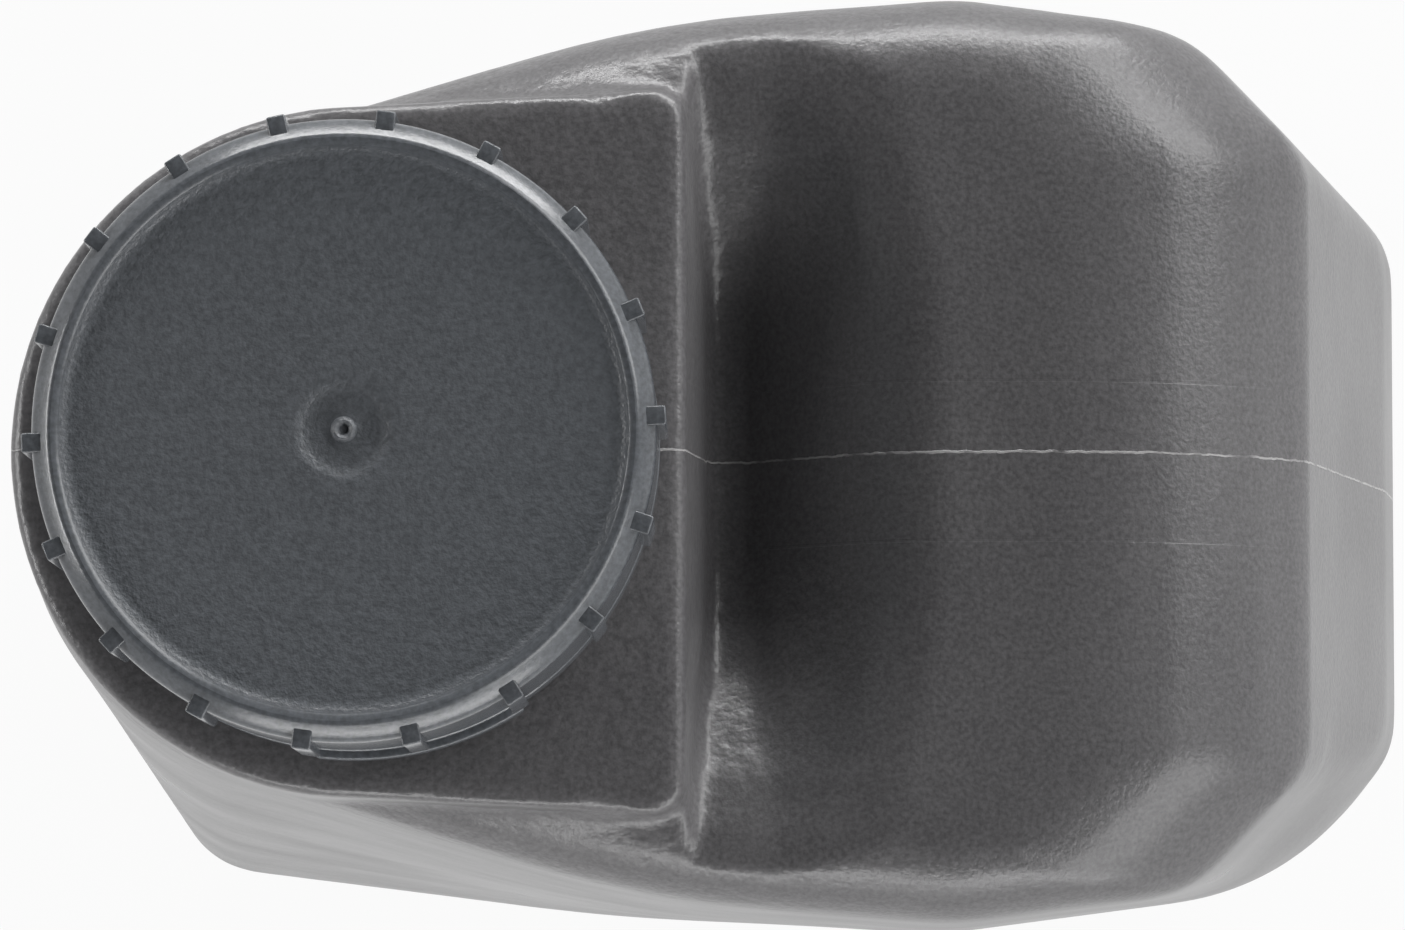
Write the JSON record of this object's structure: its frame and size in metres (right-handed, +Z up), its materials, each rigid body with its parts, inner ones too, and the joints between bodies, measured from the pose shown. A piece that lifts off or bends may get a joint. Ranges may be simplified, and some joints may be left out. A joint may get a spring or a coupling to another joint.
{
  "type": "motor oil bottle",
  "caption": "Tall flat-sided motor oil bottle with a screw cap over its narrow front, a finger recess behind the neck and a sloped rear",
  "frame": {"origin": "middle of the base, on the surface the bottle stands on", "axes": "+Z up, +X from the neck end towards the sloped rear, parting plane of the mould at Y = 0"},
  "size_m": [0.107, 0.0696, 0.1996],
  "materials": {
    "body_plastic": "satin, dark grey",
    "cap_plastic": "fine matte, darker grey",
    "liner_foam": "soft white foam"
  },
  "bodies": {
    "bottle_body": {"bottle": "body_plastic", "tamper_band": "cap_plastic"},
    "liner_body": {"liner": "liner_foam"},
    "cap_body": {"cap": "cap_plastic"}
  },
  "joints": [
    {"name": "cap_lift", "type": "slide", "parent": "bottle_body", "child": "liner_body", "axis": [0, 0, 1], "range_m": [0, 0.0081]},
    {"name": "cap_turn", "type": "hinge", "parent": "liner_body", "child": "cap_body", "pos_m": [-0.0277, 0, 0.19], "axis": [0, 0, 1], "range_deg": [0, 720]}
  ],
  "couplings": [
    {"joint": "cap_lift", "follows": "cap_turn", "m_per_rad": 0.00063662}
  ]
}
